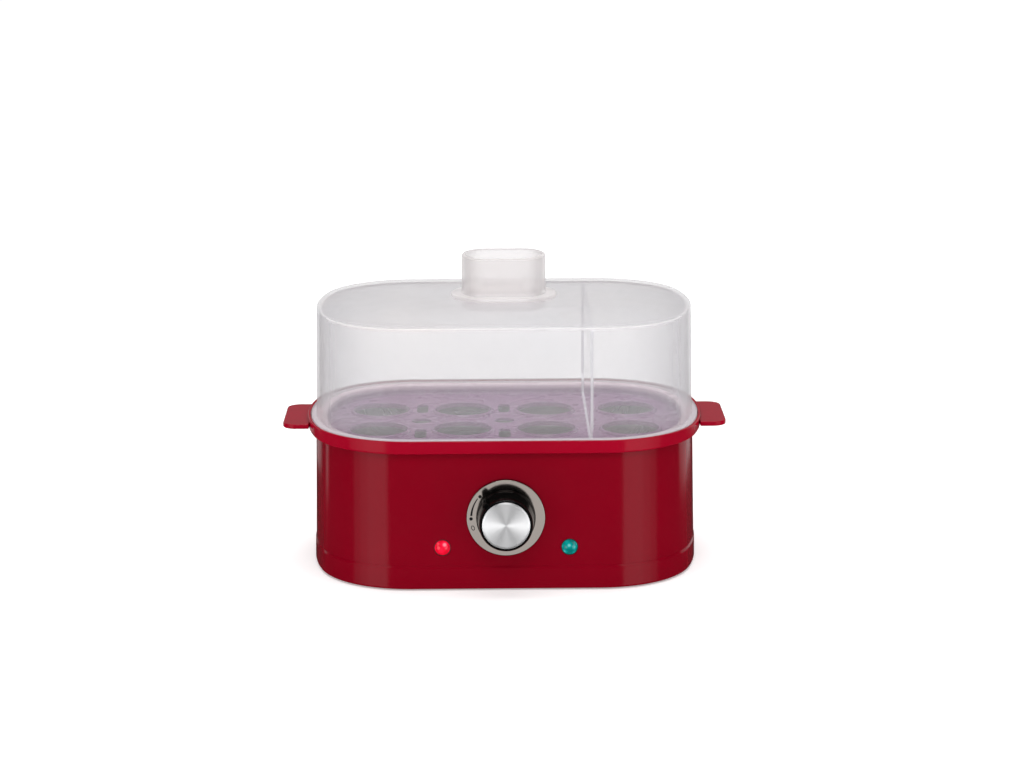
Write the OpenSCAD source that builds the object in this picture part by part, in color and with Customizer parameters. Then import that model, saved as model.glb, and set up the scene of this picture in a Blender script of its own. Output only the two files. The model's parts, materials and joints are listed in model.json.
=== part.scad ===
// Egg cooker for eight eggs: a red housing on a red base, a steel water dish with a heater below it,
// an egg tray, and a lift-off cover with a divider and a hollow grip that lets the steam out.
// +Z is up, the front with its dial faces -Y, and the origin is on the surface under the middle.

/* [Body] */
// Half of the housing's length at mid height
half_w = 114; // [113.6:0.2:115]
// Half of the housing's depth at mid height
half_d = 78; // [77.6:0.2:79]
// Half of the flat stretch of the front and back
flat_half = 55.2; // [54.4:0.2:56]
// Radius of the four corners, seen from above
corner_r = 55.6; // [54.8:0.2:56]
// Thickness of the housing's wall
wall = 2.2; // [2:0.1:2.4]
// How far the wall leans in for each millimetre of height
draft = 0.018; // [0.012:0.002:0.02]
// Height of the soft feet under the base
foot_h = 1; // [1:0.5:1.5]
// Height at which the base meets the housing
base_top = 15; // [14:0.5:15]

/* [Handles] */
// How far the tips of the two handles are from the middle
handle_x = 132.3; // [130:0.5:136]
// Half of a handle's width
handle_half = 27; // [22:1:30]
// Thickness of a handle
handle_t = 2.8; // [2.4:0.2:3.2]
// Radius of a handle's outer corners
handle_r = 8; // [4:1:10]

/* [Dial] */
// Height of the dial's axis
dial_z = 44; // [42:1:46]
// Radius of the metal ring
ring_r = 22.75; // [21:0.25:23]
// Radius of the knob's skirt
knob_r = 17.2; // [16.8:0.2:17.4]
// Length of the knob
knob_l = 16.4; // [14:0.2:18]
// Radius of the knob's metal cap
cap_r = 13.85; // [12:0.05:13.9]
// Direction in which the knob points at rest, from the right, seen from the front
pointer_deg = 135; // [90:5:180]

/* [Lamps] */
// Distance of each lamp from the middle
lamp_x = 37; // [35:1:40]
// Height of the lamps
lamp_z = 26; // [25:1:28]
// Radius of a lamp's lens
lamp_r = 4.65; // [4:0.05:4.7]

/* [Eggs] */
// Distance between neighbouring eggs
egg_pitch = 50; // [49:1:51]
// Diameter of each round seat in the tray
seat_d = 34; // [30:1:36]
// Columns of eggs, each with one at the front and one at the back
egg_columns = 4; // [4]

/* [Cover] */
// Height of the cover's upper edge
cover_top = 156.4; // [150:0.2:160]
// Rise of the cover's top above its upper edge
dome_h = 3.4; // [2:0.2:5]
// Thickness of the cover
cover_t = 1.6; // [1.4:0.1:1.8]
// Distance of the divider from the middle
divider_x = 50; // [50]
// Height of the hollow grip above the cover
grip_h = 25.6; // [18:0.2:30]
// Half of the grip's length
grip_w = 25; // [24:1:28]
// Half of the grip's depth
grip_d = 19; // [19:1:21]

/* [Hidden] */
$fn = 96;

red = [0.62, 0.02, 0.09];
rim_red = [0.72, 0.02, 0.12];
black = [0.05, 0.05, 0.055];
steel = [0.72, 0.72, 0.71];
ring_grey = [0.65, 0.62, 0.58];
milky = [0.92, 0.92, 0.95, 0.55];

mid_z = 51.5;            // height at which the housing has its nominal outline
body_top = 82;           // top of the housing
ledge_z = 77;            // shelf that the water dish hangs on
tray_z = 87.6;           // shelf that the egg tray rests on
rim_top = 89.8;          // top edge of the red rim
post_foot = 30;          // where the rim's posts stand on the base's posts
dish_z = 61;             // inner floor of the water dish
plate_z = dish_z - 0.8;  // top of the aluminium plate under the dish
tube_r = 36;             // radius of the heater's loop
shield_z = 48;           // underside of the heat shield
cover_z = tray_z + 1.6;  // underside of the cover's foot
dome_z = cover_top + dome_h;
grip_top = dome_z + grip_h;
collar_t = 2.4;          // thickness of the grip's collar
face_y = -77.4;          // flat seat of the metal ring in the housing's front
ring_y = -79.8;          // front of the metal ring
knob_y = ring_y - 0.5;   // back of the knob
gland_x = -40;
gland_z = 30;
posts = [[58, 70.5], [-58, 70.5], [58, -70.5], [-58, -70.5], [106.5, 0], [-106.5, 0]];
feet_at = [[74, 40], [-74, 40], [74, -40], [-74, -40]];
studs = [[19, 11], [-19, 11], [0, -22]];
column_x = [for (i = [0 : egg_columns - 1]) (i - (egg_columns - 1) / 2) * egg_pitch];

function unit(v) = v / norm(v);
// How far the housing's wall stands outside its outline at height z.
function lean(z) = -draft * (z - mid_z);

// The outline is an oval: flat sides, round corners and flatter round ends, each tangent to the next.
function end_angle(w, d, a, r) = 2 * atan((w - a - r) / (d - r));
function end_radius(w, d, a, r) = r + (d - r) / sin(end_angle(w, d, a, r));

// One arc of the oval: a turned shape, kept between two directions from its centre.
module arc(x, y, r, from, to) {
    mid = (from + to) / 2;
    intersection() {
        translate([x, y, 0])
            rotate_extrude()
                translate([r, 0])
                    children();
        translate([x, y, -50])
            linear_extrude(300)
                polygon([[0, 0], 300 * [cos(from), sin(from)], 400 * [cos(mid), sin(mid)],
                    300 * [cos(to), sin(to)]]);
    }
}

// Carries a profile, drawn as [outward, up], once around the oval.
module around(w, d, a, r) {
    t = end_angle(w, d, a, r);
    e = end_radius(w, d, a, r);
    for (s = [0, 180])
        rotate([0, 0, s]) {
            arc(w - e, 0, e, -t, t) children();
            arc(a, d - r, r, t, 90) children();
            arc(a, r - d, r, -90, -t) children();
            translate([-a, d, 0])
                rotate([90, 0, 90])
                    linear_extrude(2 * a)
                        children();
        }
}

// The oval itself, moved outward by o.
module oval(w, d, a, r, o = 0) {
    t = end_angle(w, d, a, r);
    e = end_radius(w, d, a, r);
    reach = 1.5 * (e + abs(o));
    square([2 * a, 2 * (d + o)], center = true);
    for (s = [0, 180])
        rotate([0, 0, s]) {
            for (m = [-1, 1])
                translate([a, m * (d - r)])
                    circle(r + o);
            intersection() {
                translate([w - e, 0])
                    circle(e + o);
                polygon([[w - e, 0], [w - e + reach * cos(t), -reach * sin(t)],
                    [w - e + reach * cos(t), reach * sin(t)]]);
            }
        }
}

module body_around(points) {
    around(half_w, half_d, flat_half, corner_r)
        polygon(points);
}

module body_plate(o, z, h) {
    translate([0, 0, z])
        linear_extrude(h)
            oval(half_w, half_d, flat_half, corner_r, o);
}

module grip_around(points) {
    around(grip_w, grip_d, 10, 13)
        polygon(points);
}

module grip_plate(o, z, h) {
    translate([0, 0, z])
        linear_extrude(h)
            oval(grip_w, grip_d, 10, 13, o);
}

// A rod along +Y.
module rod_y(x, y, z, r, l) {
    translate([x, y, z])
        rotate([-90, 0, 0])
            cylinder(h = l, r = r);
}

// A turned shape on the dial's axis: its profile is [radius, distance in front of y].
module turned_y(x, y, z, points) {
    translate([x, y, z])
        rotate([90, 0, 0])
            rotate_extrude()
                polygon(points);
}

module box_at(x, y, z, size) {
    translate([x - size[0] / 2, y - size[1] / 2, z])
        cube(size);
}

module slot(l, w, h) {
    for (s = [-1, 1])
        translate([0, s * (l - w) / 2, 0])
            cylinder(h = h, r = w / 2);
    box_at(0, 0, 0, [w, l - w, h]);
}

// Base and housing

module base_pan() {
    color(red)
        difference() {
            union() {
                body_around([[0.3, foot_h], [1.3, foot_h + 1], [1.2, base_top - 0.4], [0.8, base_top],
                    [-1.75, base_top], [-1.75, base_top + 4], [-3.6, base_top + 4], [-3.6, base_top - 2.2],
                    [-1, base_top - 2.2], [-0.9, foot_h + 2], [-6, foot_h + 2], [-6, foot_h]]);
                body_plate(-5, foot_h, 2);
                for (p = posts)
                    translate([p[0], p[1], foot_h])
                        cylinder(h = post_foot - foot_h, r = 4.6);
                for (x = [-12, 12])
                    translate([gland_x + x, 48, foot_h])
                        cylinder(h = 7 - foot_h, r = 3.5);
            }
            for (p = posts)
                translate([p[0], p[1], 0]) {
                    cylinder(h = post_foot + 1, r = 1.9);
                    cylinder(h = 20, r = 3.8);
                }
            for (p = feet_at)
                translate([p[0], p[1], 0])
                    cylinder(h = 5, r = 2.5);
            for (x = [-40 : 10 : 40], y = [-24, 14])
                translate([x, y, 0])
                    slot(22, 4, 5);
        }
}

module housing() {
    top = lean(body_top);
    foot = lean(base_top);
    color(red)
        difference() {
            union() {
                body_around([[foot, base_top], [top, body_top], [top - wall, body_top],
                    [foot - wall, base_top]]);
                box_at(0, 2.5 - half_d, dial_z - 20, [38, 2, 40]);
            }
            rod_y(0, -half_d - 4, dial_z, ring_r + 0.15, 4 + half_d + face_y);
            rod_y(0, -half_d - 4, dial_z, 5, 12);
            for (s = [-1, 1])
                rod_y(s * lamp_x, -half_d - 4, lamp_z, lamp_r + 0.35, 12);
            rod_y(gland_x, half_d - 8, gland_z, 6.6, 16);
        }
}

module rim_frame() {
    color(rim_red)
        difference() {
            union() {
                body_around([[4, body_top + 1], [4.35, body_top + 1.7], [4.3, rim_top - 0.6],
                    [3.8, rim_top], [3.2, rim_top], [2.8, rim_top - 0.4], [2.8, tray_z], [-5.2, tray_z],
                    [-5.2, ledge_z], [-12, ledge_z], [-12, ledge_z - 2], [-3.2, ledge_z - 2],
                    [-3.2, body_top], [-0.4, body_top]]);
                for (p = posts)
                    translate([p[0], p[1], post_foot])
                        cylinder(h = ledge_z - 1 - post_foot, r = 4);
                for (s = [0, 180])
                    rotate([0, 0, s])
                        handle();
            }
            for (p = posts)
                translate([p[0], p[1], post_foot - 1])
                    cylinder(h = 16, r = 1.5);
        }
}

// One of the two flat handles, rounded at its outer corners.
module handle() {
    root = half_w + 3.2;
    translate([0, 0, tray_z - handle_t])
        linear_extrude(handle_t) {
            translate([root, -handle_half])
                square([handle_x - handle_r - root, 2 * handle_half]);
            translate([root, handle_r - handle_half])
                square([handle_x - root, 2 * (handle_half - handle_r)]);
            for (m = [-1, 1])
                translate([handle_x - handle_r, m * (handle_half - handle_r)])
                    circle(handle_r);
            // the end of the oval curves away from the handle's root
            translate([root - 3, -handle_half])
                square([3.5, 2 * handle_half]);
        }
}

module feet() {
    color([0.12, 0.12, 0.12])
        for (p = feet_at)
            translate([p[0], p[1], 0]) {
                cylinder(h = foot_h, r1 = 6.4, r2 = 7);
                cylinder(h = foot_h + 2.6, r = 2.4);
            }
}

module base_screws() {
    color(steel)
        for (p = posts)
            translate([p[0], p[1], 0])
                difference() {
                    union() {
                        translate([0, 0, 17.6])
                            cylinder(h = 2.4, r1 = 3, r2 = 3.5);
                        translate([0, 0, 20])
                            cylinder(h = 22, r = 1.45);
                    }
                    for (a = [0, 90])
                        rotate([0, 0, a])
                            box_at(0, 0, 17, [3.6, 0.8, 1.8]);
                }
}

// Dial

module dial_bezel() {
    t = face_y - ring_y;
    color(ring_grey)
        // its face sinks a little towards the hole
        turned_y(0, face_y, dial_z, [[10.5, 0], [ring_r, 0], [ring_r, t - 0.4], [ring_r - 0.3, t],
            [10.8, t - 0.3], [10.5, t - 0.6]]);
}

module knob_body() {
    color(black)
        union() {
            turned_y(0, knob_y, dial_z, [[12.8, 0], [knob_r, 0], [knob_r, 1.4], [16.5, 2.6],
                [15.5, knob_l - 1.2], [14.8, knob_l], [cap_r + 0.1, knob_l],
                [cap_r + 0.1, knob_l - 1], [3.05, knob_l - 1], [3.05, 0.6], [5.6, 0.6],
                [5.6, knob_l - 3.4], [12.8, knob_l - 3.4]]);
            translate([0, knob_y, dial_z])
                rotate([0, -pointer_deg, 0])
                    translate([14, 0.8 - knob_l, -1.8])
                        cube([3.8, knob_l - 1.6, 3.6]);
        }
}

module knob_cap() {
    color([0.82, 0.82, 0.83])
        turned_y(0, knob_y - knob_l + 1, dial_z, [[0, 0], [cap_r, 0], [cap_r, 0.8], [cap_r - 0.3, 1.1],
            [10, 1], [0, 0.9]]);
}

module spindle() {
    color(steel)
        difference() {
            rod_y(0, knob_y - knob_l + 1.6, dial_z, 3, 34);
            box_at(0, knob_y - knob_l + 5, dial_z + 2, [8, 9, 4]);
        }
}

module control_switch() {
    color([0.2, 0.2, 0.21])
        difference() {
            union() {
                box_at(0, -62.2, dial_z - 16, [32, 24.6, 32]);
                rod_y(0, face_y - 1.8, dial_z, 4.8, 6);
            }
            rod_y(0, -90, dial_z, 3.05, 30.2);
        }
    color(steel)
        for (x = [-9, 9], z = [-9, 9])
            box_at(x, -46.2, dial_z + z - 0.4, [6.3, 8, 0.8]);
}

module control_nut() {
    color(steel)
        difference() {
            translate([0, face_y, dial_z])
                rotate([90, 0, 0])
                    cylinder(h = 2, r = 8, $fn = 6);
            rod_y(0, face_y - 3, dial_z, 4.85, 4);
        }
}

// Lamps

module lens(s) {
    turned_y(s * lamp_x, -74.6, lamp_z, [[3, 0], [6.4, 0], [6.4, 1], [lamp_r, 1], [lamp_r, 4.2],
        [4.1, 4.9], [2.4, 5.6], [0, 5.8], [0, 3.6], [3, 3.6]]);
}

module red_lens() {
    color([0.9, 0.1, 0.2])
        lens(-1);
}

module green_lens() {
    color([0.1, 0.75, 0.65])
        lens(1);
}

module lamp_sleeves() {
    color([0.9, 0.9, 0.88])
        for (s = [-1, 1])
            difference() {
                union() {
                    rod_y(s * lamp_x, -74.6, lamp_z, 6.4, 2);
                    rod_y(s * lamp_x, -73, lamp_z, 3.6, 15);
                }
                rod_y(s * lamp_x, -76, lamp_z, 2.5, 20);
            }
}

module neon_lamps() {
    color([1, 0.6, 0.4])
        for (s = [-1, 1]) {
            rod_y(s * lamp_x, -75.6, lamp_z, 2.2, 17);
            translate([s * lamp_x, -75.6, lamp_z])
                sphere(2.2);
        }
}

// Dish and heater

module heating_dish() {
    color(steel) {
        body_around([[-5.6, 79], [-5.6, 79.8], [-12.6, 79.8], [-17.6, dish_z + 1.4], [-19.5, dish_z],
            [-40, dish_z], [-40, plate_z], [-19.1, plate_z], [-16.9, dish_z + 0.8], [-12, 79]]);
        body_plate(-39, plate_z, 0.8);
    }
}

module dish_seal() {
    color([0.35, 0.33, 0.33])
        translate([0, 0, ledge_z])
            linear_extrude(79 - ledge_z)
                difference() {
                    oval(half_w, half_d, flat_half, corner_r, -5.8);
                    oval(half_w, half_d, flat_half, corner_r, -11.4);
                }
}

module heat_spreader() {
    color([0.78, 0.78, 0.79])
        difference() {
            translate([0, 0, plate_z - 3])
                cylinder(h = 3, r = 46);
            translate([0, 0, plate_z - 4.7])
                rotate_extrude()
                    translate([tube_r, 0])
                        circle(3.35);
        }
}

module heater_tube() {
    z = plate_z - 4.7;
    color([0.5, 0.48, 0.46]) {
        translate([0, 0, z])
            rotate([0, 0, -60])
                rotate_extrude(angle = 300)
                    translate([tube_r, 0])
                        circle(3.3);
        for (a = [-60, -120])
            rotate([0, 0, a])
                translate([tube_r, 0, z - 9])
                    cylinder(h = 10.6, r = 3.8);
    }
}

module heater_terminals() {
    for (a = [-60, -120])
        rotate([0, 0, a])
            translate([tube_r, 0, plate_z - 13.7]) {
                color([0.9, 0.88, 0.82])
                    translate([0, 0, -3])
                        cylinder(h = 3, r = 2.8);
                color(steel)
                    box_at(0, 0, -11, [0.8, 6.3, 8]);
            }
}

module dish_studs() {
    color(steel)
        for (p = studs)
            translate([p[0], p[1], 43.5])
                cylinder(h = plate_z - 3 - 43.5, r = 2);
}

module stud_spacers() {
    color(steel)
        for (p = studs)
            translate([p[0], p[1], shield_z + 0.6])
                difference() {
                    cylinder(h = plate_z - 3.6 - shield_z, r = 3.5);
                    translate([0, 0, -1])
                        cylinder(h = 12, r = 2.05);
                }
}

module shield_nuts() {
    color(steel)
        for (p = studs)
            translate([p[0], p[1], shield_z - 3.2])
                difference() {
                    cylinder(h = 3.2, r = 4, $fn = 6);
                    translate([0, 0, -1])
                        cylinder(h = 6, r = 2.05);
                }
}

module heat_shield() {
    color([0.66, 0.66, 0.66])
        translate([0, 0, shield_z])
            difference() {
                cylinder(h = 0.6, r = 58);
                translate([0, 0, -1]) {
                    cylinder(h = 3, r = 12);
                    // a notch for the switch, and for the wires that pass behind it
                    box_at(0, -60, 0, [36, 23, 3]);
                    box_at(0, -44, 0, [22, 17, 3]);
                    for (p = studs)
                        translate([p[0], p[1], 0])
                            cylinder(h = 3, r = 2.2);
                    for (a = [-60, -120])
                        rotate([0, 0, a])
                            translate([tube_r, 0, 0])
                                cylinder(h = 3, r = 5);
                    translate([42, 22, 0])
                        cylinder(h = 3, r = 2.1);
                    for (a = [60 : 30 : 210])
                        rotate([0, 0, a])
                            translate([51, 0, 0])
                                cylinder(h = 3, r = 3);
                }
            }
}

module limit_thermostat() {
    color([0.15, 0.13, 0.12])
        translate([0, 0, plate_z - 11.8])
            cylinder(h = 8.8, r = 8);
    color(steel) {
        translate([0, 0, plate_z - 4])
            cylinder(h = 1, r = 10.5);
        for (s = [-1, 1])
            box_at(s * 5, 0, plate_z - 19.8, [0.8, 6.3, 8]);
    }
}

module thermal_fuse() {
    color([0.85, 0.85, 0.8]) {
        translate([-14, 26, plate_z - 5.4])
            rotate([0, 90, 0])
                cylinder(h = 28, r = 2.2);
    }
}

module fuse_clip() {
    color(steel)
        difference() {
            union() {
                translate([-4, 26, plate_z - 5.4])
                    rotate([0, 90, 0])
                        cylinder(h = 8, r = 3);
                box_at(0, 26, plate_z - 3.8, [8, 12, 0.8]);
            }
            translate([-8, 26, plate_z - 5.4])
                rotate([0, 90, 0])
                    cylinder(h = 16, r = 2.25);
        }
}

module earth_screw() {
    color(steel)
        translate([42, 22, 0]) {
            translate([0, 0, 42.5])
                cylinder(h = 7, r = 2);
            translate([0, 0, shield_z + 0.6])
                cylinder(h = 2.4, r1 = 4, r2 = 3.4);
            translate([0, 0, 43.6])
                cylinder(h = 3.2, r = 4, $fn = 6);
        }
}

module earth_tag() {
    color([0.8, 0.65, 0.3])
        difference() {
            union() {
                translate([42, 22, 46.8])
                    cylinder(h = 1.2, r = 4.4);
                box_at(49, 22, 46.8, [10, 4, 1.2]);
            }
            translate([42, 22, 46])
                cylinder(h = 3, r = 2.05);
        }
}

// Mains connection

module terminal_block() {
    color([0.93, 0.92, 0.88])
        difference() {
            box_at(gland_x, 48, 7, [36, 16, 13]);
            for (x = [-12, 0, 12]) {
                translate([gland_x + x, 48, 13])
                    cylinder(h = 9, r = 2.6);
                rod_y(gland_x + x, 36, 11.5, 1.8, 24);
            }
        }
}

module terminal_screws() {
    color(steel)
        for (x = [-12, 0, 12])
            translate([gland_x + x, 48, 13.4])
                difference() {
                    cylinder(h = 4.6, r = 2.5);
                    box_at(0, 0, 3.6, [6, 0.8, 2]);
                }
}

module cord_gland() {
    color(black)
        difference() {
            turned_y(gland_x, 68, gland_z, [[0, 0], [6.4, 0], [6.4, -10.5], [9, -10.5], [9, -12.2],
                [7.4, -16], [0, -16]]);
            rod_y(gland_x, 66, gland_z, 3.4, 20);
        }
}

module gland_nut() {
    color(black)
        difference() {
            rod_y(gland_x, 72, gland_z, 7.8, 4);
            rod_y(gland_x, 71, gland_z, 6.45, 6);
        }
}

// Insulated wires: a tube carried along a few hand-set points, rounded between them.

function between(a, b, c, d, t) = 0.5 * (2 * b + (c - a) * t + (2 * a - 5 * b + 4 * c - d) * t * t
    + (3 * b - a - 3 * c + d) * t * t * t);

function rounded(p, k) = concat([for (i = [0 : len(p) - 2], j = [0 : k - 1])
    between(p[max(i - 1, 0)], p[i], p[i + 1], p[min(i + 2, len(p) - 1)], j / k)], [p[len(p) - 1]]);

function carried(t, i, u) = let (v = unit(u - (u * t[i]) * t[i]))
    i == len(t) - 1 ? [v] : concat([v], carried(t, i + 1, v));

module wire(points, d = 2) {
    p = rounded(points, 3);
    n = len(p);
    t = [for (i = [0 : n - 1]) unit(p[min(i + 1, n - 1)] - p[max(i - 1, 0)])];
    u = carried(t, 0, [0.31, 0.2, 0.93]);
    rings = [for (i = [0 : n - 1], j = [0 : 7])
        p[i] + d / 2 * (cos(45 * j) * u[i] + sin(45 * j) * cross(t[i], u[i]))];
    sides = [for (i = [0 : n - 2], j = [0 : 7])
        [8 * i + j, 8 * i + 8 + j, 8 * i + 8 + (j + 1) % 8, 8 * i + (j + 1) % 8]];
    polyhedron(points = rings, faces = concat([[for (j = [0 : 7]) j]], sides,
        [[for (j = [7 : -1 : 0]) 8 * n - 8 + j]]));
}

live_route = [[-52, 45, 11.5], [-52, 30, 11.5], [-46, 10, 10.5], [-30, -14, 12], [-14, -28, 18],
    [-9, -35, 32], [-9, -42.2, 35]];
neutral_route = [[-40, 45, 11.5], [-40, 28, 12], [-38, 4, 19], [-31, -20, 26], [-20, -30, 28],
    [-18, -31.2, 35.4]];
earth_route = [[-28, 45, 11.5], [-28, 32, 11.5], [-4, 28, 16], [30, 26, 28], [58, 24, 40],
    [60, 22, 47.4], [54, 22, 47.4]];
switched_route = [[9, -42.2, 53], [9, -39, 52], [9, -38, 46], [12.5, -28, 41], [16, -12, 38],
    [8, -2, 36], [5, 0, 40.4]];
heater_route = [[-5, 0, 40.4], [-6, -2, 34], [-2, -14, 28], [10, -24, 27], [17, -29, 29],
    [18, -31.2, 35.4]];
red_route = [[-9, -42.2, 53], [-9, -39, 52], [-9, -38, 46], [-16, -41, 36], [-30, -44, 28],
    [-37, -50, 26], [-37, -58.6, 26]];
green_route = [[9, -42.2, 35], [9, -36, 34], [20, -34, 26], [32, -38, 22], [37, -46, 26],
    [37, -58.6, 26]];

module wire_live() {
    color([0.45, 0.25, 0.12])
        wire(live_route);
}

module wire_neutral() {
    color([0.1, 0.3, 0.75])
        wire(neutral_route);
}

module wire_earth() {
    color([0.45, 0.7, 0.15])
        wire(earth_route);
}

module wire_switched() {
    color([0.85, 0.85, 0.85])
        wire(switched_route);
}

module wire_heater() {
    color([0.85, 0.85, 0.85])
        wire(heater_route);
}

module wire_lamp_red() {
    color([0.8, 0.1, 0.1])
        wire(red_route);
}

module wire_lamp_green() {
    color([0.1, 0.6, 0.3])
        wire(green_route);
}

// Tray and cover

module egg_tray() {
    color([0.68, 0.6, 0.72])
        difference() {
            union() {
                body_around([[2.3, tray_z], [2.3, tray_z + 1.6], [-6.9, tray_z + 1.6], [-7.5, 83],
                    [-12, 83], [-12, 81.5], [-6.2, 81.5], [-5.7, tray_z]]);
                body_plate(-11, 81.5, 1.5);
                for (x = column_x, y = [-egg_pitch / 2, egg_pitch / 2])
                    translate([x, y, 82.5])
                        cylinder(h = 2, r1 = seat_d / 2 + 2.2, r2 = seat_d / 2 + 1.2);
            }
            for (x = column_x, y = [-egg_pitch / 2, egg_pitch / 2])
                translate([x, y, 80])
                    cylinder(h = 6, r = seat_d / 2);
            for (x = [-egg_pitch, 0]) {
                translate([x, 0, 80])
                    cylinder(h = 4, r = 6);
                for (s = [-1, 1])
                    translate([x, s * 32, 80])
                        slot(22, 7, 4);
            }
        }
}

// One of the ribs inside the cover that hold an edge of the divider.
module divider_rib(x, m) {
    box_at(x, m * (half_d - 5), 96, [1.6, 5, cover_top - 97]);
}

// The crown of the cover's top: everything below it, moved in by g and down by drop.
module crown(g, drop) {
    hull()
        for (i = [0 : 4])
            translate([0, 0, cover_top - drop + dome_h * sin(22.5 * i) - (i == 0 ? 1 : 0.02)])
                linear_extrude(0.02)
                    oval(half_w, half_d, flat_half, corner_r, -8 - g - 9.5 * i, $fn = 64);
}

module cover() {
    foot = cover_z + 1.6;
    low = -1.05;
    high = -2.2;
    t = cover_t;
    color(milky)
        difference() {
            union() {
                body_around([[2.3, cover_z], [2.3, foot], [low, foot], [high, cover_top - 2],
                    [high - 0.6, cover_top - 0.6], [high - 1.9, cover_top], [-13, cover_top],
                    [-13, cover_top - t], [high - 2.2, cover_top - t - 0.2],
                    [high - t - 0.1, cover_top - 2.4], [low - t, foot], [low - t, cover_z]]);
                crown(0, 0);
                for (x = [divider_x - 1.9, divider_x + 1.9], m = [-1, 1])
                    divider_rib(x, m);
            }
            crown(1.6, t);
            grip_plate(0.2, dome_z - 8, 12);
        }
}

module divider() {
    high = 74.6;
    color(milky)
        translate([divider_x - 1, 0, 0])
            rotate([90, 0, 90])
                linear_extrude(2)
                    difference() {
                        polygon([[-69.6, 83.8], [69.6, 83.8], [69.6, 92], [high, 95],
                            [high - 1, cover_top - 3], [high - 4, cover_top - 2],
                            [4 - high, cover_top - 2], [1 - high, cover_top - 3], [-high, 95],
                            [-69.6, 92]]);
                        for (y = [-30, 0, 30])
                            translate([y, 144])
                                circle(4);
                    }
}

module vent_grip() {
    t = 1.6;
    color(milky)
        difference() {
            union() {
                grip_around([[0, dome_z], [0, dome_z + 4], [-0.2, grip_top - 0.5], [-0.6, grip_top],
                    [-t + 0.2, grip_top], [-t - 0.2, grip_top - 0.5], [-t - 0.2, dome_z - 6],
                    [-0.2, dome_z - 6], [0, dome_z - 4]]);
                grip_plate(-1, dome_z + 5.4, t);
                // the collar that rests on the crown
                difference() {
                    translate([0, 0, dome_z])
                        linear_extrude(collar_t)
                            oval(grip_w + 6.7, grip_d + 5, 10, 18);
                    grip_plate(-1, dome_z - 1, collar_t + 2);
                }
            }
            for (y = [-7, 0, 7])
                translate([0, y, dome_z])
                    rotate([0, 0, 90])
                        slot(26, 2.4, 12);
        }
}

base_pan();
housing();
rim_frame();
feet();
base_screws();
dial_bezel();
knob_body();
knob_cap();
spindle();
control_switch();
control_nut();
red_lens();
green_lens();
lamp_sleeves();
neon_lamps();
heating_dish();
dish_seal();
heat_spreader();
heater_tube();
heater_terminals();
dish_studs();
stud_spacers();
shield_nuts();
heat_shield();
limit_thermostat();
thermal_fuse();
fuse_clip();
terminal_block();
terminal_screws();
earth_screw();
earth_tag();
cord_gland();
gland_nut();
wire_live();
wire_neutral();
wire_earth();
wire_switched();
wire_heater();
wire_lamp_red();
wire_lamp_green();
egg_tray();
cover();
divider();
vent_grip();
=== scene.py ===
import json
import math
import bpy
import bmesh
from mathutils import Matrix, Vector


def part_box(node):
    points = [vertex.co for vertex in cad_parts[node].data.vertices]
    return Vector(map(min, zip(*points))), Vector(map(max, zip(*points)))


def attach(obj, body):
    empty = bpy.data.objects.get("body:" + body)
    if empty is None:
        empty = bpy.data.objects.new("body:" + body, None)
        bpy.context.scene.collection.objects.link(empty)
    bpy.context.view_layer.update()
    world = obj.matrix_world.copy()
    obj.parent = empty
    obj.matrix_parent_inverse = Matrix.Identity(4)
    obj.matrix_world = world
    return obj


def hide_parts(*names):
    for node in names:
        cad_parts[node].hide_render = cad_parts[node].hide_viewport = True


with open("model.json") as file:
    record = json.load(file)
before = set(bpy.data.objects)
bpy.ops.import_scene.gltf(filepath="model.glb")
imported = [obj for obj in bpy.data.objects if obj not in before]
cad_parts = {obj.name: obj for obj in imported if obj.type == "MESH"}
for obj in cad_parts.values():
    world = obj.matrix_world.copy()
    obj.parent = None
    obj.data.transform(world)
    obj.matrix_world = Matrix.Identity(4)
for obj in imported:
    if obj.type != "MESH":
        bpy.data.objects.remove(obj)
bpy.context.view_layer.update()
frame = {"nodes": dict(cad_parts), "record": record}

# Lengths below are in millimetres; MM turns them into the frame's metres.
MM = 0.001


# ---------------------------------------------------------------- sizes

def box_mm(node):
    """The lowest and highest corner of a CAD node, in millimetres."""
    low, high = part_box(node)
    return Vector(low) / MM, Vector(high) / MM


# Each oval is its half length, half depth, half of its flat stretch, and corner radius.
BODY = (114, 78, 55.2, 55.6)
GRIP = (25, 19, 10, 13)
COLLAR = (31.7, 24, 10, 18)
MID_Z = 51.5          # where the housing has its nominal outline
DRAFT = 0.018         # how far its wall leans in for each millimetre of height

base_low = box_mm("base_pan")[0]
wall_low, wall_high = box_mm("housing")
rim_high = box_mm("rim_frame")[1]
tray_low, tray_high = box_mm("egg_tray")
dish_low = box_mm("heating_dish")[0]
cover_low, cover_high = box_mm("cover")
plate_low, plate_high = box_mm("divider")
grip_low, grip_high = box_mm("vent_grip")
ring_low, ring_high = box_mm("dial_bezel")
knob_low, knob_high = box_mm("knob_body")
cap_low, cap_high = box_mm("knob_cap")
lens_low, lens_high = box_mm("red_lens")

DIAL_Z = (ring_low.z + ring_high.z) / 2
RING_R = (ring_high.x - ring_low.x) / 2
RING_Y = ring_low.y
LAMP_X = -(lens_low.x + lens_high.x) / 2
LAMP_Z = (lens_low.z + lens_high.z) / 2
TRAY_Z = tray_low.z + 6.1        # shelf of the rim that the tray's flange rests on
COVER_TOP = cover_high.z - 3.4   # the cover's upper edge
DOME_Z = cover_high.z
EGG_X = (-75, -25, 25, 75)       # middles of the eight seats, left to right
EGG_Y = (-25, 25)                # and front to back
SEAT_R = 17
POSTS = [(58, 70.5), (-58, 70.5), (58, -70.5), (-58, -70.5), (106.5, 0), (-106.5, 0)]
RING_HOLE = 10.5      # radius of the hole in the dial's ring
DISH = 0.32           # how far the ring's face is sunk towards its hole
RIM_LIP = 0.6         # how far the rim's rounded lip stands above the CAD edge
LENS_R = 4.5          # radius of a lamp's lens where it comes out of the housing
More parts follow.
